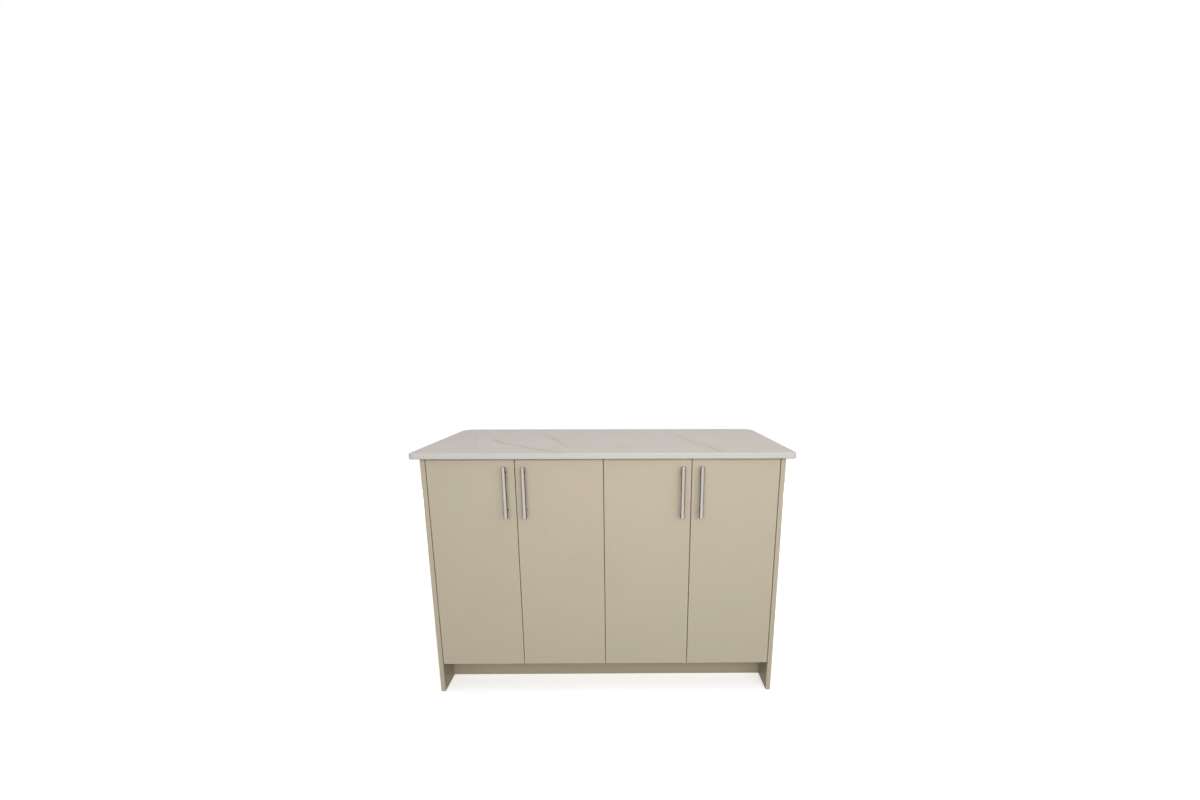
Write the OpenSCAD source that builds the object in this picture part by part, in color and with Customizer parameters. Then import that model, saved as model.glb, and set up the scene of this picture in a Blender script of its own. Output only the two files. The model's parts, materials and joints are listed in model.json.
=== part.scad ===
// Kitchen island unit: two base units between end panels, under one thin stone worktop.
// X runs left to right, Y from the door side to the rear, Z up from the floor.

/* [Body] */
// Width over the two end panels
body_w = 1220; // [1000:1:1500]
// Height from the floor to the underside of the worktop
body_h = 876; // [780:1:940]
// Depth of a carcass from its front edge to its rear edge
carcass_d = 560; // [480:1:640]
// Height of the toe space under the doors
kick_h = 114; // [90:1:160]
// Set-back of the kickboard behind the door faces
kick_back = 108; // [70:1:130]

/* [Board] */
// Thickness of the carcass, end panel, rear panel and kickboard board
board_t = 16; // [15:0.5:19]
// Width of the flat rails at the top of a carcass
rail_w = 100; // [70:1:140]
// Gap over the kickboard
kick_gap = 2; // [1:0.5:4]

/* [Worktop] */
// Thickness of the worktop
top_t = 20; // [12:1:40]
// Overhang of the worktop past the body at the front and the rear
top_over = 25; // [10:1:32]
// Overhang of the worktop past the body at each end
top_end_over = 28; // [10:1:40]
// Radius of the worktop's two front corners in plan
top_front_r = 14; // [8:1:60]
// Radius of the worktop's two rear corners in plan
top_rear_r = 50; // [20:1:80]
// Radius that eases the worktop's edges
top_edge_r = 3; // [1:0.5:5]

/* [Doors] */
// Thickness of a door
door_t = 18; // [18:0.5:20]
// Gap between two doors, and between a door and an end panel
door_gap = 3; // [3:0.5:5]
// Gap between the top of a door and the worktop
door_top_gap = 3; // [2:0.5:8]
// Gap between the back of a door and the carcass edge, filled by the bumpers
door_back_gap = 3; // [3:0.25:5]
// Radius of the edge band of a door and an end panel
band_r = 0.8; // [0.4:0.1:1.5]
// Diameter of a bumper
bumper_d = 8; // [6:0.5:12]
// Distance from a bumper to the meeting edge of its door
bumper_in = 40; // [20:1:80]

/* [Handles] */
// Diameter of a handle bar
bar_d = 14; // [10:0.5:16]
// Length of a handle bar
bar_l = 176; // [150:1:220]
// Distance between the two fixing centres of a handle
bar_centres = 128; // [96:32:128]
// Reach of a handle from the door face to the front of the bar
bar_reach = 35; // [28:1:40]
// Diameter of a handle post
post_d = 9; // [7:0.5:10]
// Distance from the bar's axis to the meeting edge of the door
bar_in = 30; // [25:1:45]
// Distance from the top of the door to the top of the bar
bar_down = 22; // [10:1:80]
// Rounding at the ends of a bar
bar_end_r = 1.2; // [0.5:0.1:2]
// Diameter of a handle screw
handle_screw_d = 4; // [3.5:0.5:4.5]

/* [Hinges] */
// Distance from the door's hinge edge to the hinge pin
pin_x = 8; // [7.5:0.1:8.5]
// Distance from the door's face to the hinge pin
pin_y = 7; // [6.8:0.1:7.2]
// Diameter of the hinge pin
pin_d = 2.2; // [2:0.1:2.4]
// Diameter of the hinge cup
cup_d = 35; // [34:0.5:36]
// Wood left between the cup and the door's hinge edge
cup_edge = 4; // [3.5:0.1:4.2]
// Wood left between the cup and the door's face
cup_left = 4.5; // [4.2:0.1:4.6]
// Wall of the pressed steel cup
cup_wall = 0.6; // [0.5:0.1:0.8]
// Thickness of the cup's flange
flange_t = 1.2; // [1:0.1:1.5]
// Distance between the two fixing screws of a cup
cup_screw_span = 48; // [45:1:52]
// Offset of those screws from the centre of the cup
cup_screw_in = 6; // [5:0.5:9.5]
// Thickness of the hinge arm's strip
arm_t = 2.4; // [2:0.1:2.6]
// Width of the arm's neck inside the cup
neck_w = 10; // [8:0.5:10]
// Width of the arm over its cheeks
arm_w = 17; // [15:0.5:20]
// Bend radius of the neck
neck_r = 5; // [4:0.5:6]
// Rise of the arm's strip over the inner face of the carcass side
arm_rise = 11.5; // [10:0.5:12]
// Distance from a carcass front edge to the line of plate screws
plate_in = 37; // [35:1:40]
// Distance between the two screws of a plate
plate_span = 32; // [32:1:40]
// Distance from the end of a door to the centre of a hinge
hinge_end = 100; // [80:1:140]

/* [Shelves] */
// Height of the shelf over the bottom board
shelf_up = 366; // [200:1:520]
// Set-back of the shelf behind the carcass front edge
shelf_in = 40; // [20:1:80]
// Side clearance of the shelf
shelf_play = 1; // [0.5:0.5:2]
// Diameter of the shelf pins and of the rows of holes
shelf_pin_d = 5; // [4:0.5:6]
// Distance between two holes in a row
hole_pitch = 32; // [25:1:40]

/* [Legs] */
// Diameter of the leg's flange
leg_flange_d = 58; // [50:1:70]
// Diameter of the leg's tube
leg_tube_d = 32; // [28:1:38]
// Diameter of the foot
foot_d = 56; // [45:1:65]
// Distance from a leg's axis to the end of its base unit
leg_in = 60; // [45:1:120]
// Diameter of the pegs that hold a leg in the bottom board
leg_peg_d = 8; // [6:0.5:10]

/* [Hidden] */
$fn = 48;

// Colours
board_colour = [0.74, 0.70, 0.62];
stone_colour = [0.78, 0.77, 0.75];
steel_colour = [0.72, 0.71, 0.69];
plastic_colour = [0.12, 0.12, 0.13];
clear_colour = [0.85, 0.86, 0.86];

// Widths
inner_w = body_w - 2 * board_t;
unit_w = inner_w / 2;
clear_w = unit_w - 2 * board_t;
door_w = (inner_w - 5 * door_gap) / 4;

// Depths
body_d = door_t + door_back_gap + carcass_d + board_t;
front_reach = max(bar_reach, top_over);
door_y = (front_reach - body_d - top_over) / 2;
carcass_y = door_y + door_t + door_back_gap;
back_y = carcass_y + carcass_d - board_t;
rear_y = carcass_y + carcass_d;
kick_y = door_y + kick_back;
kick_play = 0.3;

// Heights
rail_z = body_h - board_t;
floor_z = kick_h + board_t;
door_z = kick_h;
door_h = body_h - door_top_gap - kick_h;
shelf_z = floor_z + shelf_up;
bar_top_z = door_z + door_h - bar_down;
bar_mid_z = bar_top_z - bar_l / 2;
post_zs = [bar_mid_z - bar_centres / 2, bar_mid_z + bar_centres / 2];

// Hinge places in a door's own frame: x from the hinge edge, y from the face
cup_x = cup_edge + cup_d / 2;
cup_in_r = cup_d / 2 - cup_wall;
carcass_edge = door_t + door_back_gap;
plate_y = carcass_edge + plate_in;
plate_t = 2.5;
plate_l = 42;
plate_w = 11;
arm_end = plate_y + plate_l / 2 - 2;
cheek_y = plate_y - plate_l / 2 + 2;
hinge_zs = [door_z + hinge_end, door_z + door_h - hinge_end];
cup_floor_y = cup_left + cup_wall;
eye_r = pin_y - cup_floor_y - 0.1;
pin_play = 0.05;
arm_screw_ys = [plate_y - 11, plate_y + 12];
plate_screw_d = 6;
plate_screw_l = 11;
arm_screw_d = 4;

// Legs
leg_drop = 58;
foot_h = 12;
stem_d = leg_tube_d - 9;
peg_r = leg_flange_d / 2 - leg_peg_d / 2 - 3;
peg_l = 10;
stem_grip = 24;
flute_d = 6;
clip_w = 44;
clip_web = 10;
clip_h = 18;
clip_t = 3;
leg_front_y = kick_y + board_t + clip_t + leg_tube_d / 2 + 12;
leg_rear_in = 50;
leg_rear_y = back_y - leg_rear_in;

// Screws
screw_d = 4;
screw_head_d = 9;
screw_head_h = 3;
confirmat_d = 5;
confirmat_head_d = 10;
confirmat_l = 50;
confirmat_sink = 0.3;
cup_screw_d = 3.5;
cup_screw_l = 13;
cup_screw_head_h = 1.2;
handle_grip = 12;
fit = 0.1;

// Rows of screws and holes: distances in from the carcass edges
panel_screw_in = 90;
panel_screw_up = 60;
bolt_in = 60;
bolt_up = 150;
floor_screw_in = 50;
rear_screw_in = 80;
pin_row_in = 37;
pin_row_back = 60;
pin_hole_l = 9;
pin_rows = 2;
screw_tip = board_t - 4;
end_screw_ys = [carcass_y + panel_screw_in, rear_y - panel_screw_in];
end_screw_zs = [floor_z + panel_screw_up, rail_z - panel_screw_up];
bolt_ys = [carcass_y + bolt_in, back_y - bolt_in];
bolt_zs = [floor_z + bolt_up, rail_z - bolt_up];
rail_screw_ys = [carcass_y + rail_w / 2, back_y - rail_w / 2];
floor_screw_ys = [carcass_y + floor_screw_in, carcass_y + carcass_d / 2, back_y - floor_screw_in];
pin_row_ys = [carcass_y + shelf_in + pin_row_in, back_y - pin_row_back];
floor_screw_z = kick_h + board_t / 2;
rail_screw_z = body_h - board_t / 2;
// Every screw through a side into the boards that it holds, as [y, z]
side_screws = concat(
  [for (y = floor_screw_ys) [y, floor_screw_z]],
  [for (y = rail_screw_ys) [y, rail_screw_z]]
);

// The left edge of door i, the side its hinges are on, and the board face they sit on
function door_x(i) = -inner_w / 2 + door_gap + i * (door_w + door_gap);
function hinged_left(i) = i == 0 || i == 2;
function edge_x(i) = hinged_left(i) ? door_x(i) : door_x(i) + door_w;
function side_face(i) = board_t - ((i == 0 || i == 3) ? door_gap : door_gap / 2);
function bar_x(i) = hinged_left(i) ? door_x(i) + door_w - bar_in : door_x(i) + bar_in;
function meeting_x(i, inset) = hinged_left(i) ? door_x(i) + door_w - inset : door_x(i) + inset;
function unit_x(u) = u == 0 ? -unit_w : 0;
function leg_xs(u) = [unit_x(u) + leg_in, unit_x(u) + unit_w - leg_in];
function rear_screw_xs(u) = [
  unit_x(u) + board_t + rear_screw_in,
  unit_x(u) + unit_w - board_t - rear_screw_in
];

// A board between two opposite corners
module board(low, high) {
  translate(low)
    cube(high - low);
}

// A rod of diameter d from a point, l long, along X, Y or Z
module rod_x(p, d, l) {
  translate(p)
    rotate([0, 90, 0])
      cylinder(d = d, h = l);
}

module rod_y(p, d, l) {
  translate(p)
    rotate([-90, 0, 0])
      cylinder(d = d, h = l);
}

module rod_z(p, d, l) {
  translate(p)
    cylinder(d = d, h = l);
}

// An upright board whose four upright edges carry a rounded edge band
module banded_board(low, high, r) {
  size = high - low;
  translate([low[0], low[1], low[2]])
    linear_extrude(height = size[2])
      union() {
        translate([r, 0])
          square([size[0] - 2 * r, size[1]]);
        translate([0, r])
          square([size[0], size[1] - 2 * r]);
        for (x = [r, size[0] - r], y = [r, size[1] - r])
          translate([x, y])
            circle(r = r, $fn = 24);
      }
}

// ---- Worktop and outer panels ----

// Half outline of the worktop's edge: w is the distance from the axis to the edge
module edge_outline(w) {
  union() {
    square([w - top_edge_r, top_t]);
    translate([0, top_edge_r])
      square([w, top_t - 2 * top_edge_r]);
    for (y = [top_edge_r, top_t - top_edge_r])
      translate([w - top_edge_r, y])
        circle(r = top_edge_r, $fn = 32);
  }
}

// A slab from p with one eased edge, which lies w from p in direction a and is l long
module edge_slab(p, a, w, l) {
  translate(p)
    rotate([0, 0, a])
      rotate([90, 0, 0])
        translate([0, 0, -l / 2])
          linear_extrude(height = l)
            edge_outline(w);
}

// Four slabs that share the middle, one to each edge, and a turned corner between each two
module worktop() {
  w = body_w + 2 * top_end_over;
  d = body_d + 2 * top_over;
  front_c = top_front_r - d / 2;
  rear_c = d / 2 - top_rear_r;
  color(stone_colour)
    translate([0, door_y + body_d / 2, body_h])
      union() {
        for (a = [0, 180])
          edge_slab([0, (front_c + rear_c) / 2, 0], a, w / 2, rear_c - front_c);
        edge_slab([0, front_c, 0], 90, d - top_front_r, w - 2 * top_rear_r);
        edge_slab([0, rear_c, 0], -90, d - top_rear_r, w - 2 * top_front_r);
        for (x = [-1, 1]) {
          top_corner([x * (w / 2 - top_front_r), front_c, 0], top_front_r);
          top_corner([x * (w / 2 - top_rear_r), rear_c, 0], top_rear_r);
        }
      }
}

module top_corner(p, r) {
  translate(p)
    rotate_extrude($fn = 96)
      edge_outline(r);
}

// End panel: u is 0 on the left and 1 on the right
module end_panel(u) {
  x = u == 0 ? -body_w / 2 : body_w / 2 - board_t;
  color(board_colour)
    difference() {
      banded_board([x, door_y, 0], [x + board_t, rear_y + board_t, body_h], band_r);
      for (y = end_screw_ys, z = end_screw_zs)
        rod_x([u == 0 ? x + board_t - screw_tip : x - 1, y, z], screw_d + fit, screw_tip + 1);
    }
}

module rear_panel() {
  color(board_colour)
    difference() {
      board([-inner_w / 2, rear_y, 0], [inner_w / 2, rear_y + board_t, body_h]);
      for (u = [0, 1], x = rear_screw_xs(u), z = end_screw_zs)
        rod_y([x, rear_y - 1, z], screw_d + fit, screw_tip + 1);
    }
}

module kickboard() {
  color(board_colour)
    board([kick_play - inner_w / 2, kick_y, 0],
      [inner_w / 2 - kick_play, kick_y + board_t, kick_h - kick_gap]);
}

// ---- Carcasses ----

// Carcass side whose low X face is at x. out is the direction of its outer face, -1 or 1
module carcass_side(x, out, is_end) {
  inner = out < 0 ? x + board_t : x;
  head_l = screw_head_h + confirmat_sink;
  color(board_colour)
    difference() {
      board([x, carcass_y, kick_h], [x + board_t, rear_y, body_h]);
      // Carcass screws, with their heads let in flush
      for (s = side_screws) {
        rod_x([x - 1, s[0], s[1]], confirmat_d + fit, board_t + 2);
        rod_x([out < 0 ? x - 1 : x + board_t - head_l, s[0], s[1]], confirmat_head_d + fit,
          head_l + 1);
      }
      // Plate screws
      for (h = hinge_zs, z = [-plate_span / 2, plate_span / 2])
        rod_x([out < 0 ? inner - plate_screw_l : inner - 1, door_y + plate_y, h + z],
          plate_screw_d + fit, plate_screw_l + 1);
      // Rows of shelf holes
      for (y = pin_row_ys, k = [-pin_rows:pin_rows])
        rod_x([out < 0 ? inner - pin_hole_l : inner - 1, y,
          shelf_z - shelf_pin_d / 2 + k * hole_pitch], shelf_pin_d + fit, pin_hole_l + 1);
      if (is_end)
        for (y = end_screw_ys, z = end_screw_zs)
          rod_x([x - 1, y, z], screw_d + fit, board_t + 2);
      else
        for (y = bolt_ys, z = bolt_zs)
          rod_x([x - 1, y, z], screw_d + fit, board_t + 2);
    }
}

// Holes that the carcass screws make in the end grain of a board between the sides
module end_holes(u, ys, z) {
  grip = confirmat_l + confirmat_sink - board_t + 1;
  for (y = ys) {
    rod_x([unit_x(u) + board_t - 1, y, z], confirmat_d + fit, grip);
    rod_x([unit_x(u) + unit_w - board_t - grip + 1, y, z], confirmat_d + fit, grip);
  }
}

module unit_bottom(u) {
  color(board_colour)
    difference() {
      board([unit_x(u) + board_t, carcass_y, kick_h],
        [unit_x(u) + unit_w - board_t, back_y, floor_z]);
      end_holes(u, floor_screw_ys, floor_screw_z);
      for (x = leg_xs(u), y = [leg_front_y, leg_rear_y])
        leg_pegs([x, y, kick_h - 1], leg_peg_d + fit, peg_l + 2);
    }
}

module unit_back(u) {
  color(board_colour)
    difference() {
      board([unit_x(u) + board_t, back_y, kick_h],
        [unit_x(u) + unit_w - board_t, rear_y, body_h]);
      for (x = rear_screw_xs(u), z = end_screw_zs)
        rod_y([x, back_y - 1, z], screw_d + fit, board_t + 2);
    }
}

// Flat rail at the top: front is true for the one over the doors
module unit_rail(u, front) {
  y = front ? carcass_y : back_y - rail_w;
  color(board_colour)
    difference() {
      board([unit_x(u) + board_t, y, rail_z],
        [unit_x(u) + unit_w - board_t, y + rail_w, body_h]);
      end_holes(u, [y + rail_w / 2], rail_screw_z);
    }
}

module unit_shelf(u) {
  color(board_colour)
    board([unit_x(u) + board_t + shelf_play, carcass_y + shelf_in, shelf_z],
      [unit_x(u) + unit_w - board_t - shelf_play, back_y - shelf_play, shelf_z + board_t]);
}

// Shelf pin: a peg from the side to under the shelf, with a thin collar. dir is 1 or -1 along X
module shelf_pin(x, y, dir) {
  peg_l = pin_hole_l - 1;
  mirror([dir < 0 ? 1 : 0, 0, 0])
    translate([dir * x, y, shelf_z - shelf_pin_d / 2]) {
      rod_x([-peg_l, 0, 0], shelf_pin_d, 2 * peg_l + shelf_play);
      rod_x([0, 0, 0], shelf_pin_d + 3, 0.8 * shelf_play);
    }
}

module shelf_pins() {
  color(steel_colour)
    for (u = [0, 1], y = pin_row_ys) {
      shelf_pin(unit_x(u) + board_t, y, 1);
      shelf_pin(unit_x(u) + unit_w - board_t, y, -1);
    }
}

// ---- Legs and kickboard clips ----

module leg_pegs(p, d, l) {
  for (a = [45:90:315])
    translate(p)
      rotate([0, 0, a])
        translate([peg_r, 0, 0])
          cylinder(d = d, h = l, $fn = 24);
}

module each_leg() {
  for (u = [0, 1], x = leg_xs(u), y = [leg_front_y, leg_rear_y])
    translate([x, y, 0])
      children();
}

// Socket: a flange with ribs and pegs, and a tube that the foot screws into
module leg_sockets() {
  color(plastic_colour)
    each_leg()
      difference() {
        union() {
          rotate_extrude()
            polygon([
              [0, kick_h - leg_drop],
              [leg_tube_d / 2, kick_h - leg_drop],
              [leg_tube_d / 2, kick_h - 14],
              [leg_tube_d / 2 + 4, kick_h - 5],
              [leg_flange_d / 2, kick_h - 4],
              [leg_flange_d / 2, kick_h],
              [0, kick_h]
            ]);
          for (a = [0:45:315])
            rotate([0, 0, a])
              translate([leg_tube_d / 2 - 1, -1, kick_h - 22])
                cube([7, 2, 20]);
          leg_pegs([0, 0, kick_h - 1], leg_peg_d, peg_l + 1);
        }
        translate([0, 0, kick_h - leg_drop - 1])
          cylinder(d = stem_d + 2 * fit, h = leg_drop - 6);
      }
}

// Foot: a stem in the socket, a turning collar and a spread base
module leg_feet() {
  stem_top = kick_h - leg_drop + stem_grip;
  color(plastic_colour)
    each_leg()
      difference() {
        rotate_extrude()
          polygon([
            [0, 0],
            [foot_d / 2, 0],
            [foot_d / 2, 4],
            [foot_d / 2 - 5, 7],
            [leg_tube_d / 2 + 2, foot_h],
            [leg_tube_d / 2 + 2, kick_h - leg_drop - 6],
            [leg_tube_d / 2, kick_h - leg_drop],
            [stem_d / 2, kick_h - leg_drop],
            [stem_d / 2, stem_top - 2],
            [stem_d / 2 - 2, stem_top],
            [0, stem_top]
          ]);
        // Grip flutes round the collar
        for (a = [0:45:315])
          rotate([0, 0, a])
            translate([leg_tube_d / 2 + 4, 0, foot_h + flute_d])
              cylinder(d = flute_d, h = kick_h - leg_drop, $fn = 24);
      }
}

// Clip: a snap ring on the tube of a front leg and a foot plate on the kickboard
module kickboard_clips() {
  z = kick_h - leg_drop + 6;
  y_board = kick_y + board_t;
  color(plastic_colour)
    for (u = [0, 1], x = leg_xs(u))
      translate([x, 0, z])
        difference() {
          union() {
            translate([0, leg_front_y, 0])
              cylinder(d = leg_tube_d + 2 * clip_t, h = clip_h);
            translate([-clip_web / 2, y_board, 0])
              cube([clip_web, leg_front_y - y_board - leg_tube_d / 2, clip_h]);
            translate([-clip_w / 2, y_board, 0])
              cube([clip_w, clip_t, clip_h]);
          }
          translate([0, leg_front_y, -1])
            cylinder(d = leg_tube_d + fit, h = clip_h + 2);
          translate([-leg_tube_d / 3, leg_front_y + leg_tube_d / 4, -1])
            cube([2 * leg_tube_d / 3, leg_tube_d, clip_h + 2]);
        }
}

// ---- Screws and bolts ----

// Screw along X from the outer face of a head at p; dir is 1 or -1
module screw_x(p, dir, head_d, head_h, d, l) {
  translate(p)
    rotate([0, dir * 90, 0])
      turned_screw(head_d, head_h, d, l);
}

// Screw with a cross recess, its head's top at 0 and its shank upwards
module turned_screw(head_d, head_h, d, l) {
  difference() {
    union() {
      cylinder(d = head_d, h = head_h, $fn = 24);
      cylinder(d = d, h = l, $fn = 24);
    }
    for (a = [0, 90])
      rotate([0, 0, a])
        translate([-head_d / 4, -head_d / 14, -1])
          cube([head_d / 2, head_d / 7, 1 + head_h / 2]);
  }
}

module carcass_screws() {
  color(steel_colour)
    for (u = [0, 1], s = side_screws) {
      screw_x([unit_x(u) + confirmat_sink, s[0], s[1]], 1, confirmat_head_d, screw_head_h,
        confirmat_d, confirmat_l);
      screw_x([unit_x(u) + unit_w - confirmat_sink, s[0], s[1]], -1, confirmat_head_d,
        screw_head_h, confirmat_d, confirmat_l);
    }
}

// Two-part bolt through both inner sides, with a wide head on each face
module unit_joining_bolts() {
  head_d = screw_head_d + 3;
  head_h = 2;
  color(steel_colour)
    for (y = bolt_ys, z = bolt_zs) {
      screw_x([-board_t - head_h, y, z], 1, head_d, head_h, screw_d, 2 * board_t + 1.5 * head_h);
      difference() {
        rod_x([board_t, y, z], head_d, head_h);
        rod_x([board_t - 1, y, z], screw_d + fit, 1 + head_h / 2);
      }
    }
}

module end_panel_screws() {
  l = screw_head_h + board_t + screw_tip - 1;
  x = inner_w / 2 - board_t - screw_head_h;
  color(steel_colour)
    for (y = end_screw_ys, z = end_screw_zs) {
      screw_x([-x, y, z], -1, screw_head_d, screw_head_h, screw_d, l);
      screw_x([x, y, z], 1, screw_head_d, screw_head_h, screw_d, l);
    }
}

module rear_panel_screws() {
  l = screw_head_h + board_t + screw_tip - 1;
  color(steel_colour)
    for (u = [0, 1], x = rear_screw_xs(u), z = end_screw_zs)
      translate([x, back_y - screw_head_h, z])
        rotate([-90, 0, 0])
          turned_screw(screw_head_d, screw_head_h, screw_d, l);
}

// ---- Hinges: all in the door's own frame, x from the hinge edge and y from the face ----

// Places its children at both hinges of door i
module at_hinges(i) {
  for (z = hinge_zs)
    translate([edge_x(i), door_y, z])
      mirror([hinged_left(i) ? 0 : 1, 0, 0])
        children();
}

// A strip of the arm: outline in x and y, w wide and centred on z = 0
module strip(w) {
  translate([0, 0, -w / 2])
    linear_extrude(height = w)
      children();
}

// Arm on a side whose inner face is at face: eye, neck in the cup, strip and cheeks
module hinge_arm(face) {
  x = face + arm_rise;
  difference() {
    union() {
      strip(neck_w)
        union() {
          translate([pin_x, pin_y])
            circle(r = eye_r);
          translate([pin_x, pin_y - arm_t / 2])
            square([x - neck_r - pin_x, arm_t]);
          translate([x - neck_r, pin_y + neck_r])
            intersection() {
              difference() {
                circle(r = neck_r + arm_t / 2);
                circle(r = neck_r - arm_t / 2);
              }
              translate([0, -2 * neck_r])
                square(2 * neck_r);
            }
          translate([x - arm_t / 2, pin_y + neck_r])
            square([arm_t, cheek_y - pin_y - neck_r + 1]);
        }
      strip(arm_w)
        translate([x - arm_t / 2, cheek_y])
          square([arm_t, arm_end - cheek_y]);
      // Cheeks that straddle the plate
      for (z = [-arm_w / 2, arm_w / 2 - 1.5])
        translate([face + plate_t + 0.3, cheek_y, z])
          cube([arm_rise - plate_t - 0.3, arm_end - cheek_y, 1.5]);
    }
    rod_z([pin_x, pin_y, -neck_w], pin_d + 2 * pin_play, 2 * neck_w);
    for (y = arm_screw_ys)
      rod_x([x - arm_t, y, 0], arm_screw_d + fit, 2 * arm_t);
  }
}

module hinge_arms() {
  color(steel_colour)
    for (i = [0:3])
      at_hinges(i)
        hinge_arm(side_face(i));
}

// Mounting plate: a winged base and a raised bed under the arm
module hinge_plate(face) {
  bed = arm_rise - arm_t / 2;
  wing = plate_span / 2 + 7;
  difference() {
    union() {
      translate([face, plate_y - plate_l / 2, -plate_w / 2])
        cube([bed, plate_l, plate_w]);
      translate([face, plate_y - 7, -wing + 7])
        cube([plate_t, 14, 2 * wing - 14]);
      for (z = [7 - wing, wing - 7])
        rod_x([face, plate_y, z], 14, plate_t);
    }
    for (z = [-plate_span / 2, plate_span / 2])
      rod_x([face - 1, plate_y, z], plate_screw_d + fit, plate_t + 2);
    for (y = arm_screw_ys)
      rod_x([face + plate_t, y, 0], arm_screw_d + fit, bed);
  }
}

module hinge_plates() {
  color(steel_colour)
    for (i = [0:3])
      at_hinges(i)
        hinge_plate(side_face(i));
}

module plate_screws() {
  head_h = 2;
  color(steel_colour)
    for (i = [0:3])
      at_hinges(i)
        for (z = [-plate_span / 2, plate_span / 2])
          screw_x([side_face(i) + plate_t + head_h, plate_y, z], -1, plate_screw_d + 3, head_h,
            plate_screw_d, head_h + plate_t + plate_screw_l - 1);
}

module arm_screws() {
  head_h = 2;
  color(steel_colour)
    for (i = [0:3])
      at_hinges(i)
        for (y = arm_screw_ys)
          screw_x([side_face(i) + arm_rise + arm_t / 2 + head_h, y, 0], -1, 7, head_h,
            arm_screw_d, head_h + arm_t + 4);
}

// Pressed cup with its flange, and the pin across it from wall to wall
module hinge_cup() {
  difference() {
    union() {
      rod_y([cup_x, cup_left, 0], cup_d, door_t - cup_left + flange_t);
      rod_y([cup_x, door_t, 0], cup_d + 3, flange_t);
      for (z = [-cup_screw_span / 2, cup_screw_span / 2])
        rod_y([cup_x + cup_screw_in, door_t, z], 11, flange_t);
      translate([cup_x + cup_screw_in - 5.5, door_t, -cup_screw_span / 2])
        cube([11, flange_t, cup_screw_span]);
    }
    rod_y([cup_x, cup_floor_y, 0], 2 * cup_in_r, door_t);
    for (z = [-cup_screw_span / 2, cup_screw_span / 2])
      rod_y([cup_x + cup_screw_in, door_t - 1, z], cup_screw_d + fit, flange_t + 2);
  }
  intersection() {
    rod_z([pin_x, pin_y, -cup_d / 2], pin_d, cup_d);
    rod_y([cup_x, cup_left, 0], cup_d, door_t - cup_left);
  }
}

module door_hinge_cups(i) {
  color(steel_colour)
    at_hinges(i)
      hinge_cup();
}

module door_cup_screws(i) {
  color(steel_colour)
    at_hinges(i)
      for (z = [-cup_screw_span / 2, cup_screw_span / 2])
        translate([cup_x + cup_screw_in, door_t + flange_t + cup_screw_head_h, z])
          rotate([90, 0, 0])
            turned_screw(2 * cup_screw_d, cup_screw_head_h, cup_screw_d, cup_screw_l);
}

// ---- Doors ----

module door_panel(i) {
  x = door_x(i);
  color(board_colour)
    difference() {
      banded_board([x, door_y, door_z], [x + door_w, door_y + door_t, door_z + door_h], band_r);
      at_hinges(i) {
        rod_y([cup_x, cup_left, 0], cup_d + fit, door_t);
        for (z = [-cup_screw_span / 2, cup_screw_span / 2])
          rod_y([cup_x + cup_screw_in, door_t + 1 - cup_screw_l, z], cup_screw_d + fit, cup_screw_l);
      }
      for (z = post_zs)
        rod_y([bar_x(i), door_y - 1, z], handle_screw_d + fit, door_t + 2);
    }
}

// Bar: a round rod with eased ends
module door_handle_bar(i) {
  r = bar_d / 2;
  y = door_y - bar_reach + r;
  color(steel_colour)
    difference() {
      translate([bar_x(i), y, bar_top_z - bar_l])
        rotate_extrude()
          union() {
            square([r - bar_end_r, bar_l]);
            translate([0, bar_end_r])
              square([r, bar_l - 2 * bar_end_r]);
            for (z = [bar_end_r, bar_l - bar_end_r])
              translate([r - bar_end_r, z])
                circle(r = bar_end_r, $fn = 24);
          }
      for (z = post_zs)
        rod_y([bar_x(i), y + r / 2, z], post_d + fit, r);
    }
}

// Posts: turned pegs from the door face into the bar
module door_handle_posts(i) {
  l = bar_reach - bar_d / 2 - bar_d / 4;
  color(steel_colour)
    for (z = post_zs)
      difference() {
        rod_y([bar_x(i), door_y - l, z], post_d, l);
        rod_y([bar_x(i), door_y - handle_grip, z], handle_screw_d + fit, handle_grip + 1);
      }
}

module door_handle_screws(i) {
  head_h = 2.2;
  color(steel_colour)
    for (z = post_zs)
      translate([bar_x(i), door_y + door_t + head_h, z])
        rotate([90, 0, 0])
          turned_screw(8, head_h, handle_screw_d, head_h + door_t + handle_grip - 1);
}

module door_bumpers() {
  color(clear_colour)
    for (i = [0:3], z = [kick_h + board_t / 2, body_h - door_top_gap - bumper_d / 2 - 1])
      rod_y([meeting_x(i, bumper_in), carcass_y - door_back_gap, z], bumper_d, door_back_gap);
}

worktop();
end_panel(0);  // end_panel_left
end_panel(1);  // end_panel_right
rear_panel();
kickboard();
carcass_side(-unit_w, -1, true);  // left_unit_outer_side
carcass_side(-board_t, 1, false);  // left_unit_inner_side
unit_bottom(0);  // left_unit_bottom
unit_back(0);  // left_unit_back
unit_rail(0, true);  // left_unit_front_rail
unit_rail(0, false);  // left_unit_rear_rail
unit_shelf(0);  // left_unit_shelf
carcass_side(0, -1, false);  // right_unit_inner_side
carcass_side(unit_w - board_t, 1, true);  // right_unit_outer_side
unit_bottom(1);  // right_unit_bottom
unit_back(1);  // right_unit_back
unit_rail(1, true);  // right_unit_front_rail
unit_rail(1, false);  // right_unit_rear_rail
unit_shelf(1);  // right_unit_shelf
shelf_pins();
leg_sockets();
leg_feet();
kickboard_clips();
carcass_screws();
unit_joining_bolts();
end_panel_screws();
rear_panel_screws();
hinge_plates();
hinge_arms();
plate_screws();
arm_screws();
door_bumpers();
door_panel(0);  // door_1_panel
door_handle_bar(0);  // door_1_handle_bar
door_handle_posts(0);  // door_1_handle_posts
door_handle_screws(0);  // door_1_handle_screws
door_hinge_cups(0);  // door_1_hinge_cups
door_cup_screws(0);  // door_1_cup_screws
door_panel(1);  // door_2_panel
door_handle_bar(1);  // door_2_handle_bar
door_handle_posts(1);  // door_2_handle_posts
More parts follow.
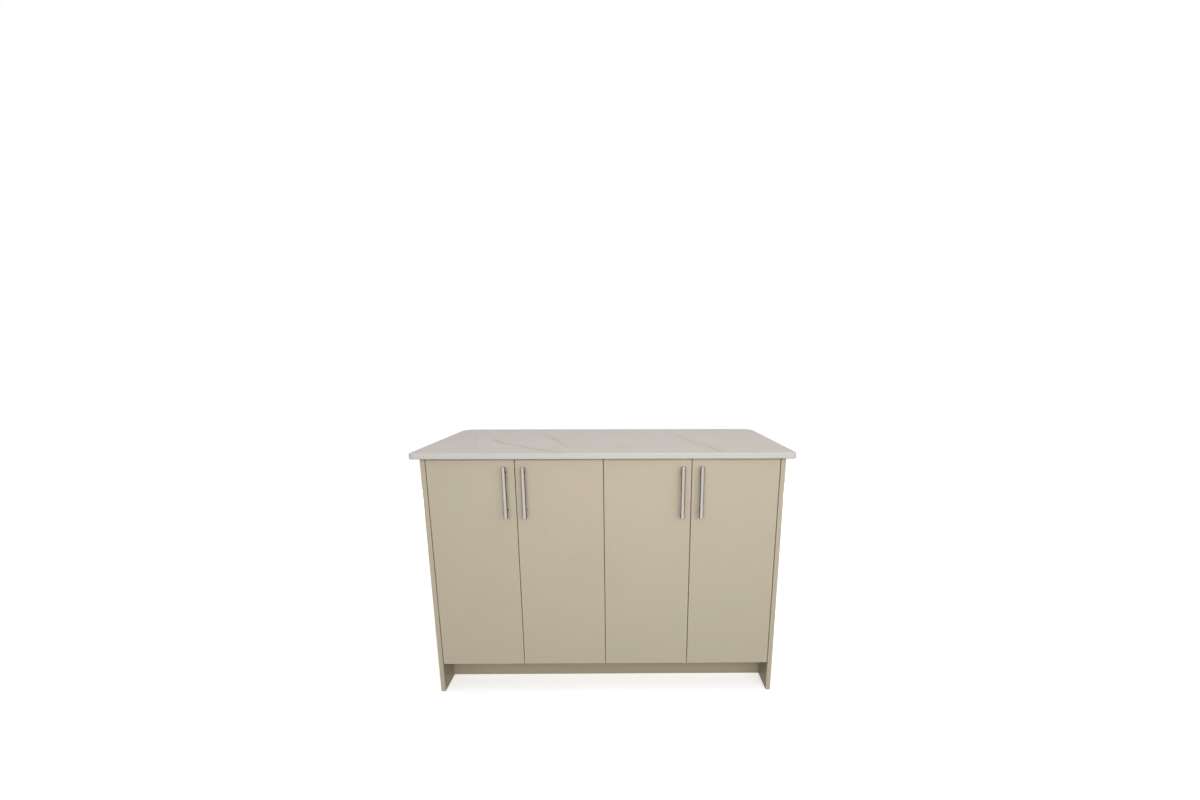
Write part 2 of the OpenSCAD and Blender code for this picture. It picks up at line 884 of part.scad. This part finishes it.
door_handle_screws(1);  // door_2_handle_screws
door_hinge_cups(1);  // door_2_hinge_cups
door_cup_screws(1);  // door_2_cup_screws
door_panel(2);  // door_3_panel
door_handle_bar(2);  // door_3_handle_bar
door_handle_posts(2);  // door_3_handle_posts
door_handle_screws(2);  // door_3_handle_screws
door_hinge_cups(2);  // door_3_hinge_cups
door_cup_screws(2);  // door_3_cup_screws
door_panel(3);  // door_4_panel
door_handle_bar(3);  // door_4_handle_bar
door_handle_posts(3);  // door_4_handle_posts
door_handle_screws(3);  // door_4_handle_screws
door_hinge_cups(3);  // door_4_hinge_cups
door_cup_screws(3);  // door_4_cup_screws
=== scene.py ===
import json
import math

import bpy
import numpy as np
from mathutils import Matrix, Vector


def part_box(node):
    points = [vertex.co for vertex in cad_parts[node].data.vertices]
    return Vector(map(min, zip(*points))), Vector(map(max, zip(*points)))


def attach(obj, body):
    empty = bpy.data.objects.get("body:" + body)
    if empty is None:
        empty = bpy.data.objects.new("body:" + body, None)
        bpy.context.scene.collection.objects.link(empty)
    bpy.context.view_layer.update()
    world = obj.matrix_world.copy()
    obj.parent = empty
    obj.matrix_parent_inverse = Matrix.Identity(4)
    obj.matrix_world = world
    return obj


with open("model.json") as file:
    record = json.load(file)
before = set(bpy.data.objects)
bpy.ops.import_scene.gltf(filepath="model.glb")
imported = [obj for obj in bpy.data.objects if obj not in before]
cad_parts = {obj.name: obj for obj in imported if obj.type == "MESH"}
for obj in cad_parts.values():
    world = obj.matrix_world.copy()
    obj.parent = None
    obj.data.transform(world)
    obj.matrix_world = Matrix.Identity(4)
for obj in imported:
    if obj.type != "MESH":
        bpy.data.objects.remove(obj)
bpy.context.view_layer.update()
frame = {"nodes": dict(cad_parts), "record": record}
nodes = frame["nodes"]
scene = bpy.context.scene
scene.view_settings.view_transform = "Standard"
print("frame loaded:", len(nodes), "cabinet parts")


# camera: a standing view, a little right of the middle and looking slightly down
cameraSpot = {
    "place": (0.0650, -1.9938, 1.1789),
    "lookDown": 0.2342,       # this and the next two are in radians
    "turnLeft": -0.0072,
    "lean": 0.0012,
    "focalShare": 0.43224,    # focal length over the picture's width
    "aimX": 0.52213,          # where the lens axis meets the picture, over its width
    "aimY": 0.40660,          # and down it, also over its width
    "pictureRatio": 1.5,
    "sensorWidth": 36.0,      # millimetres
}


def placeCamera(spot):
    # turned about Z, then tipped down about X, then leaned about its own view line
    turn = Matrix.Rotation(spot["turnLeft"], 3, "Z")
    tip = Matrix.Rotation(-spot["lookDown"], 3, "X")
    lean = Matrix.Rotation(spot["lean"], 3, "Y")
    axes = turn @ tip @ lean
    right, ahead, up = axes.col[0], axes.col[1], axes.col[2]
    lens = bpy.data.cameras.new("kitchenView")
    lens.sensor_width = spot["sensorWidth"]
    lens.lens = spot["sensorWidth"] * spot["focalShare"]
    lens.shift_x = 0.5 - spot["aimX"]
    lens.shift_y = spot["aimY"] - 0.5 / spot["pictureRatio"]
    eye = bpy.data.objects.new("kitchenView", lens)
    scene.collection.objects.link(eye)
    pose = Matrix((right, up, -ahead)).transposed().to_4x4()
    pose.translation = spot["place"]
    eye.matrix_world = pose
    scene.camera = eye


placeCamera(cameraSpot)
print("camera placed")


class Wire:
    # one output of a node; sums written on it add the maths nodes
    def __init__(self, tree, out):
        self.tree, self.out = tree, out

    def _math(self, op, a, b=None, kind="ShaderNodeMath"):
        n = self.tree.nodes.new(kind)
        n.operation = op
        for i, v in enumerate((a, b)):
            if isinstance(v, Wire):
                self.tree.links.new(v.out, n.inputs[i])
            elif v is not None:
                n.inputs[i].default_value = v
        return Wire(self.tree, n.outputs[0])

    def __add__(self, o):
        return self._math("ADD", self, o)

    def __radd__(self, o):
        return self._math("ADD", o, self)

    def __sub__(self, o):
        return self._math("SUBTRACT", self, o)

    def __rsub__(self, o):
        return self._math("SUBTRACT", o, self)

    def __mul__(self, o):
        return self._math("MULTIPLY", self, o)

    def __rmul__(self, o):
        return self._math("MULTIPLY", o, self)

    def __abs__(self):
        return self._math("ABSOLUTE", self)

    def atMost(self, o):
        return self._math("MINIMUM", self, o)

    def atLeast(self, o):
        return self._math("MAXIMUM", self, o)

    def shifted(self, offset):
        # vector sum, for a moved or warped pattern
        return self._math("ADD", self, offset, "ShaderNodeVectorMath")


class Finish:
    # one material and the nodes in it
    def __init__(self, name):
        self.material = bpy.data.materials.new(name)
        self.material.use_nodes = True
        self.tree = self.material.node_tree
        self.shader = self.tree.nodes["Principled BSDF"]
        self.place = self.node("TexCoord", out="Object")

    def node(self, kind, settings=None, out=0, **inputs):
        # any node: its settings first, then its sockets by name, or by number as _0, _1
        n = self.tree.nodes.new("ShaderNode" + kind)
        for key, value in (settings or {}).items():
            setattr(n, key, value)
        for key, value in inputs.items():
            socket = n.inputs[int(key[1:])] if key[0] == "_" else n.inputs[key]
            if isinstance(value, Wire):
                self.tree.links.new(value.out, socket)
            else:
                socket.default_value = value
        return Wire(self.tree, n.outputs[out])

    def axes(self, vector=None):
        split = self.node("SeparateXYZ", Vector=vector or self.place)
        outs = split.out.node.outputs
        return [Wire(self.tree, outs[i]) for i in range(3)]

    def normalAxes(self):
        return self.axes(self.node("NewGeometry", out="Normal"))

    def noise(self, scale, detail=3.0, rough=0.5, stretch=None, warp=None, colour=False):
        vector = self.place
        if warp is not None:
            vector = vector.shifted(warp)
        if stretch:
            vector = self.node("Mapping", Vector=vector, Scale=stretch)
        return self.node("TexNoise", out=1 if colour else 0, Vector=vector, Scale=scale,
                         Detail=detail, Roughness=rough)

    def scaled(self, vector, share):
        return self.node("VectorMath", {"operation": "SCALE"}, _0=vector, Scale=share)

    def fade(self, value, low, high, start=0.0, end=1.0):
        # smooth step from start to end as value goes from low to high
        return self.node("MapRange", {"interpolation_type": "SMOOTHSTEP"}, Value=value,
                         _1=low, _2=high, _3=start, _4=end)

    def blend(self, share, first, second):
        def full(c):
            return c if isinstance(c, Wire) else (*c, 1.0)
        return self.node("Mix", {"data_type": "RGBA"}, out=2, _0=share, _6=full(first),
                         _7=full(second))

    def feed(self, **sockets):
        names = {"colour": "Base Color", "rough": "Roughness", "metal": "Metallic",
                 "specular": "Specular IOR Level", "normal": "Normal",
                 "see": "Transmission Weight", "ior": "IOR"}
        for key, value in sockets.items():
            socket = self.shader.inputs[names[key]]
            if isinstance(value, Wire):
                self.tree.links.new(value.out, socket)
            else:
                socket.default_value = value

    def bump(self, height, depth, strength):
        return self.node("Bump", Height=height, Distance=depth, Strength=strength)


def dress(finish, *names):
    for name in names:
        node = nodes[name]
        if not node.data.materials:
            node.data.materials.append(finish.material)
        for i in range(len(node.material_slots)):
            node.material_slots[i].material = finish.material


# faced board: warm beige decor, a soft mottle, and an edge band all round
boardDecor = {
    "beige": (0.531, 0.470, 0.354),
    "warm": (0.538, 0.453, 0.340),
    "cool": (0.510, 0.464, 0.357),
    "cloudScale": 5.5,
    "cloudShare": 0.55,
    "broadScale": 1.6,
    "broadShare": 0.5,
    "driftScale": 2.2,         # of the wander that bends the clouds and wisps
    "driftReach": 0.22,
    "wisp": (0.50, 0.41, 0.31),
    "wispScale": 3.1,
    "wispWidth": 0.018,
    "wispShare": 0.16,
    "fleck": (0.36, 0.32, 0.24),
    "fleckScale": 900.0,
    "fleckShare": 0.05,
    "band": (0.498, 0.438, 0.327),
    # painted light: the doors' band is coloured lighter than the face, to brighten the shaded
    # gaps between doors
    "doorBandPaintedLight": (0.740, 0.650, 0.475),
    "bandShare": 0.7,
    "arrisHighlight": (0.700, 0.635, 0.490),   # painted highlight: a light hairline round the face, where the band's edge would catch the light
    "arrisHighlightShare": 0.75,
    "arrisHighlightWidth": 0.0011,
    # painted shade: a dull warm brown laid over the recessed kickboard and the toe-space faces of
    # the end panels
    "paintedShade": (0.300, 0.240, 0.150),
    "kickShade": 0.50,
    "kickShadeDrift": 0.10,         # how unevenly the painted shade lies on the kickboard
    "cornerShade": 0.16,        # more painted shade towards the kickboard's ends
    "cornerReach": 0.16,
    "toeShade": 0.45,           # and painted shade on the end panels beside the toe space
    "toeShadeDrift": 0.15,
    "toeHeight": 0.117,
    "toeBlur": 0.004,
    "roughness": 0.52,
    "roughDrift": 0.10,
    "specular": 0.4,
    "grainScale": 420.0,
    "grainDepth": 0.00004,
    "grainStrength": 0.5,
}


def boardFinish(name, faceAxis, low, high):
    look = boardDecor
    f = Finish(name)
    place = f.axes()

    def inset(axis):
        # how far in from the board's nearer edge a point lies, along one axis
        half, middle = (high[axis] - low[axis]) / 2, (high[axis] + low[axis]) / 2
        return half - abs(place[axis] - middle)

    drift = f.scaled(f.noise(look["driftScale"], 2.0, colour=True), look["driftReach"])
    clouds = f.noise(look["cloudScale"], 4.0, 0.55, warp=drift)
    broad = f.noise(look["broadScale"], 2.0, 0.5)
    wisps = abs(f.noise(look["wispScale"], 3.0, 0.5, warp=drift) - 0.5)
    wisps = f.fade(wisps, 0.0, look["wispWidth"], 1.0, 0.0)
    flecks = f.fade(f.noise(look["fleckScale"], 2.0, 0.6), 0.42, 0.62)
    tone = f.blend(f.fade(clouds, 0.32, 0.68) * look["cloudShare"], look["beige"], look["warm"])
    tone = f.blend(f.fade(broad, 0.35, 0.7) * look["broadShare"], tone, look["cool"])
    tone = f.blend(wisps * look["wispShare"], tone, look["wisp"])
    tone = f.blend(flecks * look["fleckShare"], tone, look["fleck"])
    # the band: faces that look along the board's plane, on the doors coloured lighter as painted
    # light in the shaded gaps between them, and a painted highlight round the big faces along its
    # edge
    normal = f.normalAxes()
    onFace = f.fade(abs(normal[faceAxis]), 0.5, 0.9)
    band = look["doorBandPaintedLight"] if name.startswith("door") else look["band"]
    tone = f.blend((1.0 - onFace) * look["bandShare"], tone, band)
    first, second = [inset(axis) for axis in range(3) if axis != faceAxis]
    # painted highlight: a light hairline just inside each big face's edge
    arrisHighlight = f.fade(first.atMost(second), look["arrisHighlightWidth"] * 0.6, look["arrisHighlightWidth"], 1.0, 0.0)
    tone = f.blend(arrisHighlight * onFace * look["arrisHighlightShare"], tone, look["arrisHighlight"])
    if name.startswith("kickboard"):
        # painted shade over the recessed kickboard, deeper towards its ends
        ends = f.fade(inset(0), 0.0, look["cornerReach"], look["cornerShade"], 0.0)
        cover = ends + look["kickShade"] + (clouds - 0.5) * look["kickShadeDrift"]
        tone = f.blend(cover, tone, look["paintedShade"])
    if name.startswith("end_panel"):
        # painted shade on the side that faces the toe space, below the doors
        inward = -1.0 if low[0] > 0 else 1.0
        top = look["toeHeight"]
        toe = f.fade(normal[0] * inward, 0.6, 0.95)
        toe = toe * f.fade(place[2], top, top + look["toeBlur"], 1.0, 0.0)
        cover = look["toeShade"] + (clouds - 0.5) * look["toeShadeDrift"]
        tone = f.blend(toe * cover, tone, look["paintedShade"])
    rough = look["roughness"] + (clouds - 0.5) * look["roughDrift"]
    grain = f.noise(look["grainScale"], 3.0, 0.6)
    f.feed(colour=tone, rough=rough, specular=look["specular"],
           normal=f.bump(grain, look["grainDepth"], look["grainStrength"]))
    return f


boardNames = [r["node"] for r in frame["record"]["subparts"] if r["material_slot"] == "board"]
for name in boardNames:
    low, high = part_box(name)
    sizes = [high[i] - low[i] for i in range(3)]
    dress(boardFinish(name + "_decor", sizes.index(min(sizes)), low, high), name)
print("boards dressed:", len(boardNames))


# worktop: pale engineered stone with a few thin veins. Each vein is a shallow arc between two
# points of the plan: from, to, bow to its left in metres, half width, strength
worktopStone = {
    "ground": (0.580, 0.535, 0.482),
    "milky": (0.612, 0.573, 0.525),
    "milkyShare": 0.6,
    "cloudScale": 3.4,
    "dusky": (0.535, 0.480, 0.422),
    "duskyShare": 0.35,
    "smokeScale": 11.0,
    "wanderScale": 7.0,        # of the wander that bends the veins and clouds
    "wanderReach": 0.045,
    "veinGrey": (0.46, 0.40, 0.33),
    "veinGold": (0.520, 0.415, 0.300),
    "hueScale": 9.0,
    "breakScale": 16.0,        # of the thin places along a vein
    "thinnest": 0.50,
    "taper": 0.12,             # of a vein's length, at each end
    "haloWidth": 4,            # times the vein's
    "haloShare": 0.35,
    # painted light: the sides and edges lighter and cooler than the top
    "edge": (0.640, 0.643, 0.614),
    "edgeShare": 0.75,
    # painted shade: the underside is coloured a darker brown
    "underside": (0.400, 0.345, 0.262),
    "roughness": 0.42,
    "veinRough": 0.05,         # added along a vein
    "smokeRough": 0.06,
    "specular": 0.06,
    "polishScale": 260.0,
    "polishDepth": 0.00002,
    "polishStrength": 0.4,
    "veins": [
        ((-0.455, 0.030), (-0.120, -0.325), -0.022, 0.0085, 0.90),
        ((-0.300, 0.215), (-0.128, -0.205), 0.018, 0.0080, 0.62),
        ((0.255, 0.262), (0.408, -0.322), -0.010, 0.0080, 0.70),
        ((0.405, 0.085), (0.636, -0.040), -0.032, 0.0060, 0.50),
        ((-0.545, 0.130), (-0.444, -0.260), 0.011, 0.0060, 0.32),
        ((0.060, 0.328), (0.190, 0.120), 0.012, 0.0050, 0.26),
        ((-0.100, -0.060), (0.060, -0.318), -0.010, 0.0028, 0.20),
    ],
}


def stoneFinish():
    look = worktopStone
    f = Finish("worktop_stone")
    wander = f.noise(look["wanderScale"], 4.0, 0.55, colour=True)
    wander = f.node("VectorMath", {"operation": "SUBTRACT"}, _0=wander, _1=(0.5, 0.5, 0.5))
    wander = f.scaled(wander, look["wanderReach"])
    x, y = f.axes(f.place.shifted(wander))[:2]
    breaks = f.noise(look["breakScale"], 3.0, 0.6)
    clouds = f.noise(look["cloudScale"], 5.0, 0.55, warp=wander)
    smoke = f.noise(look["smokeScale"], 4.0, 0.6)
    tone = f.blend(f.fade(clouds, 0.35, 0.7) * look["milkyShare"], look["ground"], look["milky"])
    tone = f.blend(f.fade(smoke, 0.5, 0.8) * look["duskyShare"], tone, look["dusky"])
    line = halo = None
    for start, end, bow, width, strength in look["veins"]:
        dx, dy = end[0] - start[0], end[1] - start[1]
        length = math.hypot(dx, dy)
        ux, uy = dx / length, dy / length
        # along runs 0 to 1 between the ends, across is the distance to the arc
        along = ((x - start[0]) * ux + (y - start[1]) * uy) * (1 / length)
        across = (y - start[1]) * ux - (x - start[0]) * uy
        across = abs(across - along * (1.0 - along) * (4 * bow))
        ends = f.fade(along, 0.0, look["taper"])
        ends = ends * f.fade(along, 1.0 - look["taper"], 1.0, 1.0, 0.0)
        part = f.fade(across, 0.0, width, strength, 0.0) * ends
        wide, faint = width * look["haloWidth"], strength * look["haloShare"]
        glow = f.fade(across, 0.0, wide, faint, 0.0) * ends
        line = part if line is None else line.atLeast(part)
        halo = glow if halo is None else halo.atLeast(glow)
    line = line * f.fade(breaks, 0.28, 0.50, look["thinnest"], 1.0)
    hue = f.fade(f.noise(look["hueScale"], 2.0), 0.42, 0.60)
    tone = f.blend(halo, tone, look["dusky"])
    tone = f.blend(line, tone, f.blend(hue, look["veinGrey"], look["veinGold"]))
    # painted light: the edges and sides are coloured a shade lighter and cooler than the top, for
    # the light they catch
    rise = f.normalAxes()[2]
    tone = f.blend((1.0 - f.fade(rise, 0.55, 0.95)) * look["edgeShare"], tone, look["edge"])
    # and the underside, left unpolished, is coloured a darker brown as painted shade under the
    # overhang
    tone = f.blend(f.fade(rise, -0.98, -0.80, 1.0, 0.0), tone, look["underside"])
    rough = look["roughness"] + line * look["veinRough"] + (smoke - 0.5) * look["smokeRough"]
    polish = f.noise(look["polishScale"], 2.0)
    f.feed(colour=tone, rough=rough, specular=look["specular"],
           normal=f.bump(polish, look["polishDepth"], look["polishStrength"]))
    return f


dress(stoneFinish(), "worktop")
print("stone dressed")


# metals: the bars are brushed along their length, the hinges are plated, the screws are dull zinc
barSteel = {
    "colour": (0.445, 0.415, 0.398),
    "dark": (0.325, 0.298, 0.282),
    "darkShare": 0.5,
    # painted reflection: the bar's two flanks are coloured a dark grey-brown
    "sides": (0.150, 0.130, 0.112),
    "flankReflectionShare": 0.85,
    "streak": (900.0, 900.0, 9.0),   # lines across, across and along the bar
    "streakDepth": 0.00002,
    "streakStrength": 0.35,
    "smearScale": 40.0,
    "roughness": 0.24,
    "streakRough": 0.16,
    "smearRough": 0.08,
}
hingeNickel = {"colour": (0.63, 0.61, 0.58), "roughness": 0.22}
screwZinc = {"colour": (0.55, 0.55, 0.53), "roughness": 0.38}
plating = {
    "dullness": 0.82,          # of the metal's own colour, in its dull patches
    "dullShare": 0.45,
    "cloudScale": 90.0,
    "grainScale": 700.0,
    "grainDepth": 0.00002,
    "grainStrength": 0.3,
    "roughDrift": 0.14,
}


def brushedFinish(name, look):
    f = Finish(name)
    streaks = f.noise(1.0, 3.0, 0.65, stretch=look["streak"])
    smears = f.noise(look["smearScale"], 3.0, 0.5)
    tone = f.blend(f.fade(streaks, 0.35, 0.7) * look["darkShare"], look["colour"], look["dark"])
    # painted reflection: the bar's two sides are coloured a darker grey, for the dark
    # surroundings a polished bar reflects there
    sideways = f.fade(abs(f.normalAxes()[0]), 0.45, 0.85)
    tone = f.blend(sideways * look["flankReflectionShare"], tone, look["sides"])
    rough = look["roughness"] + (streaks - 0.5) * look["streakRough"]
    f.feed(colour=tone, metal=1.0, rough=rough + (smears - 0.5) * look["smearRough"],
           normal=f.bump(streaks, look["streakDepth"], look["streakStrength"]))
    return f


def platedFinish(name, look):
    f = Finish(name)
    cloud = f.noise(plating["cloudScale"], 3.0, 0.55)
    dull = tuple(plating["dullness"] * c for c in look["colour"])
    tone = f.blend(f.fade(cloud, 0.4, 0.7) * plating["dullShare"], look["colour"], dull)
    grain = f.noise(plating["grainScale"], 2.0)
    f.feed(colour=tone, metal=1.0,
           rough=look["roughness"] + (cloud - 0.5) * plating["roughDrift"],
           normal=f.bump(grain, plating["grainDepth"], plating["grainStrength"]))
    return f


doorNames = [f"door_{k}_" for k in (1, 2, 3, 4)]
dress(brushedFinish("bar_steel", barSteel),
      *[d + part for d in doorNames for part in ("handle_bar", "handle_posts")])
nickel = platedFinish("hinge_nickel", hingeNickel)
dress(nickel, "hinge_plates", "hinge_arms", *[d + "hinge_cups" for d in doorNames])
zinc = platedFinish("screw_zinc", screwZinc)
dress(zinc, "shelf_pins", "carcass_screws", "unit_joining_bolts", "end_panel_screws",
      "rear_panel_screws", "plate_screws", "arm_screws",
      *[d + part for d in doorNames for part in ("handle_screws", "cup_screws")])
print("metals dressed")


# plastics: black moulded legs and clips, clear soft bumpers
legPlastic = {
    "colour": (0.018, 0.018, 0.020),
    "scuff": (0.045, 0.044, 0.043),
    "scuffScale": 55.0,
    "grainScale": 1500.0,
    "grainDepth": 0.00004,
    "grainStrength": 0.5,
    "roughness": 0.45,
    "roughDrift": 0.25,
}
bumperGel = {
    "colour": (0.80, 0.81, 0.80),
    "cloud": (0.70, 0.71, 0.69),
    "cloudScale": 300.0,
    "clearness": 0.55,
    "ior": 1.45,
    "roughness": 0.20,
    "roughDrift": 0.1,
}


def mouldedFinish(name, look):
    f = Finish(name)
    scuffs = f.noise(look["scuffScale"], 5.0, 0.65)
    tone = f.blend(f.fade(scuffs, 0.52, 0.75), look["colour"], look["scuff"])
    grain = f.noise(look["grainScale"], 2.0)
    f.feed(colour=tone, rough=look["roughness"] + (scuffs - 0.5) * look["roughDrift"],
           normal=f.bump(grain, look["grainDepth"], look["grainStrength"]))
    return f


def gelFinish(name, look):
    f = Finish(name)
    haze = f.noise(look["cloudScale"], 2.0)
    f.feed(colour=f.blend(haze, look["colour"], look["cloud"]), ior=look["ior"],
           see=look["clearness"],
           rough=look["roughness"] + (haze - 0.5) * look["roughDrift"])
    return f


dress(mouldedFinish("leg_plastic", legPlastic), "leg_sockets", "leg_feet", "kickboard_clips")
dress(gelFinish("bumper_gel", bumperGel), "door_bumpers")
print("plastics dressed")


# cover caps: moulded domes in the board's colour, pushed over the screw heads in the carcasses
coverCaps = {
    "radius": 0.0072,
    "proud": 0.0043,           # how far the dome stands off the board
    "headHeight": 0.003,       # of the screw that it hides
    "squareness": 0.32,        # 1 is a plain half ellipse, less is boxier
    "crown": 0.97,             # of the way up, where a flat disc closes the dome
    "rings": 14,
    "turns": 44,
    "colour": (0.495, 0.445, 0.330),
    "worn": (0.560, 0.512, 0.400),
    "wornShare": 0.5,
    "wornScale": 180.0,
    "grainScale": 2200.0,
    "grainDepth": 0.00003,
    "grainStrength": 0.4,
    "roughness": 0.33,
    "roughDrift": 0.18,
    "specular": 0.45,
    "over": [   # new piece, screws under it, the axis that they run along
        ("end_screw_caps", "end_panel_screws", 0),
        ("rear_screw_caps", "rear_panel_screws", 1),
    ],
}


def headSpots(name, axis):
    # middle of each screw head of a node: the points that lie nearest the middle along the
    # axis, gathered by the cell of a wide grid that they are in
    cell, flat = 0.1, 0.0002
    mesh = nodes[name].data
    points = np.empty(len(mesh.vertices) * 3)
    mesh.vertices.foreach_get("co", points)
    points = points.reshape(-1, 3)
    reach = np.abs(points[:, axis])
    tops = points[reach < reach.min() + flat]
    cells = np.floor((tops - tops.min(axis=0)) / cell + 0.45)
    groups = np.unique(cells, axis=0, return_inverse=True)[1].ravel()
    heads = [tops[groups == g] for g in range(groups.max() + 1)]
    return np.array([(head.min(axis=0) + head.max(axis=0)) / 2 for head in heads])


def capPoints(look):
    # rim to crown by the angle a: radius R cos(a)^s, height H sin(a)^s, turned round the axis
    a = np.linspace(0.0, look["crown"], look["rings"]) * (math.pi / 2)
    around = np.linspace(0.0, 2 * math.pi, look["turns"], endpoint=False)
    wide = look["radius"] * np.cos(a)[:, None] ** look["squareness"]
    high = look["proud"] * np.sin(a)[:, None] ** look["squareness"]
    return np.stack([wide * np.cos(around), wide * np.sin(around),
                     high * np.ones_like(around)], axis=2).reshape(-1, 3)


def capFinish(look):
    f = Finish("cap_moulding")
    haze = f.noise(look["wornScale"], 3.0, 0.6)
    tone = f.blend(f.fade(haze, 0.45, 0.75) * look["wornShare"], look["colour"], look["worn"])
    rough = look["roughness"] + (haze - 0.5) * look["roughDrift"]
    grain = f.noise(look["grainScale"], 2.0)
    f.feed(colour=tone, rough=rough, specular=look["specular"],
           normal=f.bump(grain, look["grainDepth"], look["grainStrength"]))
    return f


def coverScrews(look, finish):
    # each cap is the dome laid along its screw's axis, moved to the head and facing inwards;
    # where that turns it inside out, its faces are wound the other way
    cap = capPoints(look)
    rings, turns = look["rings"], look["turns"]
    grid = np.arange(rings * turns).reshape(rings, turns)
    across = np.roll(grid, -1, axis=1)
    quads = np.stack([grid[:-1], across[:-1], across[1:], grid[1:]], axis=2).reshape(-1, 4)
    for name, screws, axis in look["over"]:
        spots = headSpots(screws, axis)
        inward = -np.sign(spots[:, axis])
        sides = [k for k in range(3) if k != axis]
        points = np.repeat(spots[:, None, :], len(cap), axis=1)
        points[:, :, sides] += cap[None, :, :2]
        points[:, :, axis] += inward[:, None] * (cap[None, :, 2] - look["headHeight"])
        faces = []
        for k, turn in enumerate(inward * (1 if axis != 1 else -1)):
            step = 1 if turn > 0 else -1
            faces += (quads[:, ::step] + k * len(cap)).tolist()
            faces.append((grid[-1][::step] + k * len(cap)).tolist())
            faces.append((grid[0][::-step] + k * len(cap)).tolist())
        mesh = bpy.data.meshes.new(name)
        mesh.from_pydata(points.reshape(-1, 3).tolist(), [], faces)
        mesh.polygons.foreach_set("use_smooth", np.ones(len(faces), dtype=bool))
        mesh.update()
        piece = bpy.data.objects.new(name, mesh)
        scene.collection.objects.link(piece)
        mesh.materials.append(finish.material)
        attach(piece, "cabinet")
        print(name, "over", len(spots), "screw heads")


coverScrews(coverCaps, capFinish(coverCaps))


# floor and light
studio = {
    "floorSide": 60.0,
    "floorWhite": (0.90, 0.90, 0.89),
    "floorGrit": (0.88, 0.88, 0.88),
    "gritScale": 30.0,
    "gritShare": 0.02,
    "floorBounce": (0.10, 0.098, 0.094),
    "nearGlow": 0.46,          # of the floor round the object, where its shadow falls
    "farGlow": 0.70,           # of the floor out of the lamps' reach
    "farFrom": (1.6, 4.5),     # metres over which one turns into the other
    "ambient": 0.36,
    "aim": (0, 0, 0.5),        # where every lamp looks
    "lamps": [   # name, place, width, height, watts
        ("windowFar", (0.0, -5.5, 2.2), 4.0, 2.0, 99.5),
        ("nearSoft", (0.1, -2.4, 1.45), 1.4, 0.8, 16.0),
        ("nearRight", (1.3, -2.4, 1.5), 1.4, 0.8, 12.0),
        ("overhead", (0.0, 0.0, 3.0), 2.0, 2.0, 14.0),
        ("rightSoft", (3.2, 0.6, 2.4), 2.0, 2.0, 22.0),
        ("leftSoft", (-3.2, -1.2, 2.2), 2.0, 2.0, 6.0),
        # the last two stand behind, lower than the worktop, and light only the sides and rear
        ("behindLeft", (-2.5, 2.3, 0.55), 2.4, 0.7, 38.0),
        ("behindRight", (2.5, 2.3, 0.55), 2.4, 0.7, 32.0),
    ],
}


def whiteToEye(tree):
    # 1 for what the camera sees itself, in a shiny metal or through the bumpers, else 0
    ray = tree.nodes.new("ShaderNodeLightPath").outputs
    seen = Wire(tree, ray["Is Camera Ray"]).atLeast(Wire(tree, ray["Is Glossy Ray"]))
    return seen.atLeast(Wire(tree, ray["Is Transmission Ray"]))


def makeFloor(look):
    half = look["floorSide"] / 2
    corners = [(-half, -half, 0), (half, -half, 0), (half, half, 0), (-half, half, 0)]
    mesh = bpy.data.meshes.new("studioFloor")
    mesh.from_pydata(corners, [], [(0, 1, 2, 3)])
    floor = bpy.data.objects.new("studioFloor", mesh)
    scene.collection.objects.link(floor)
    f = Finish("studio_floor")
    seen = whiteToEye(f.tree)
    grit = f.noise(look["gritScale"], 3.0) * look["gritShare"]
    pale = f.blend(grit, look["floorWhite"], look["floorGrit"])
    f.feed(colour=f.blend(seen, look["floorBounce"], pale), rough=0.9, specular=0.0)
    away = f.node("VectorMath", {"operation": "LENGTH"}, out=1, _0=f.place)
    level = f.fade(away, *look["farFrom"], look["nearGlow"], look["farGlow"])
    glow = f.node("Emission", Color=f.blend(level, (0, 0, 0), (1, 1, 1)), Strength=seen)
    both = f.node("AddShader", _0=Wire(f.tree, f.shader.outputs[0]), _1=glow)
    f.tree.links.new(both.out, f.tree.nodes["Material Output"].inputs["Surface"])
    mesh.materials.append(f.material)


def makeWorld(look):
    world = bpy.data.worlds.new("paleRoom")
    world.use_nodes = True
    scene.world = world
    tree = world.node_tree
    backdrop = tree.nodes["Background"]
    backdrop.inputs["Color"].default_value = (1.0, 1.0, 1.0, 1.0)
    strength = whiteToEye(tree) * (1.0 - look["ambient"]) + look["ambient"]
    tree.links.new(strength.out, backdrop.inputs["Strength"])


def makeLamps(look):
    for name, place, width, height, watts in look["lamps"]:
        lamp = bpy.data.lights.new(name, "AREA")
        lamp.shape = "RECTANGLE"
        lamp.size, lamp.size_y = width, height
        lamp.energy = watts
        holder = bpy.data.objects.new(name, lamp)
        holder.visible_camera = False
        scene.collection.objects.link(holder)
        gaze = Vector(look["aim"]) - Vector(place)
        pose = gaze.to_track_quat("-Z", "Y").to_matrix().to_4x4()
        pose.translation = place
        holder.matrix_world = pose


makeFloor(studio)
makeWorld(studio)
makeLamps(studio)
print("floor and lamps set")
